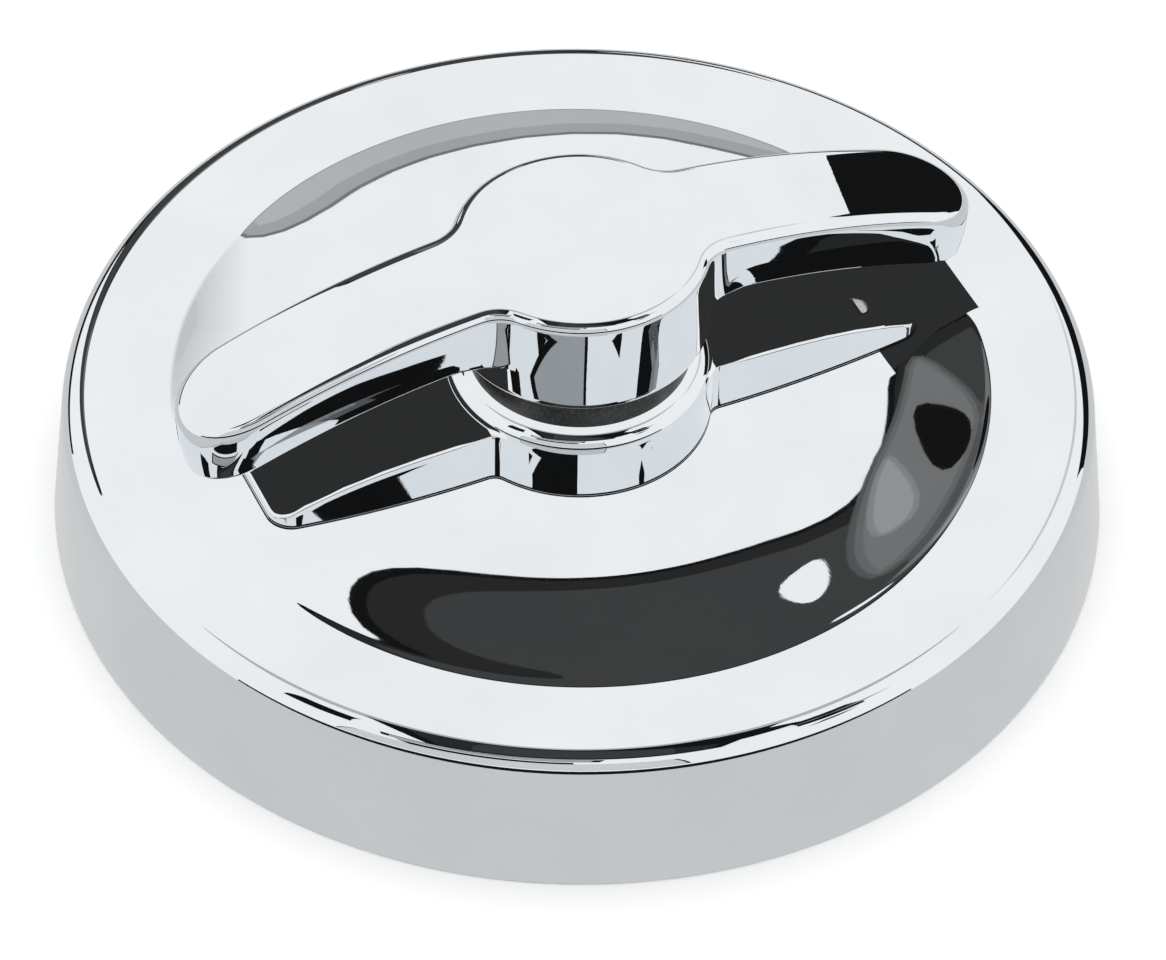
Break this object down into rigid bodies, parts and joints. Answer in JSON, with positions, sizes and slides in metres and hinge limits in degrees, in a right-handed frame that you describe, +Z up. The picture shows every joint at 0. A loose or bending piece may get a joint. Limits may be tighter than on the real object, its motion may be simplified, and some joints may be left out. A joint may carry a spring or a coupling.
{
  "type": "deck fill cap",
  "caption": "Round skirted chrome fill cap with a fixed grip and a turning lever that draws a two-eared clamp bar up under the neck's lip.",
  "frame": {"origin": "centre of the skirt's bottom edge, on the surface the cap stands on", "axes": "+Z up along the spindle; +X along the lever, the grip and the clamp bar while locked"},
  "size_m": [0.084, 0.084, 0.0272],
  "materials": {
    "chrome": "polished chrome plate",
    "steel": "zinc plated, satin",
    "brass": "machined",
    "rubber": "matt black",
    "fibre": "black pressed fibre"
  },
  "bodies": {
    "cap": {"cap_shell": "chrome", "neck_gasket": "rubber", "fixed_grip": "chrome", "grip_dowel": "steel", "spindle_bush": "brass", "bush_gasket": "fibre", "ring_nut": "steel", "spindle_seal": "rubber", "thrust_washer": "fibre", "spring_washer": "steel", "stop_pin": "steel", "guide_pins": "steel"},
    "lever": {"lever": "chrome", "spindle": "steel", "lever_pin": "steel", "spindle_washer": "steel", "spindle_clip": "steel"},
    "clamp": {"clamp_bar": "steel", "bar_nut": "brass", "bar_rivets": "steel", "ear_pads": "brass"}
  },
  "joints": [
    {"name": "lever_turn", "type": "hinge", "parent": "cap", "child": "lever", "pos_m": [0, 0, 0], "axis": [0, 0, 1], "range_deg": [0, 90]},
    {"name": "clamp_lift", "type": "slide", "parent": "cap", "child": "clamp", "axis": [0, 0, 1], "range_m": [-0.002, 0]}
  ],
  "couplings": [
    {"joint": "lever_turn", "follows": "clamp_lift", "rad_per_m": -785.4}
  ]
}
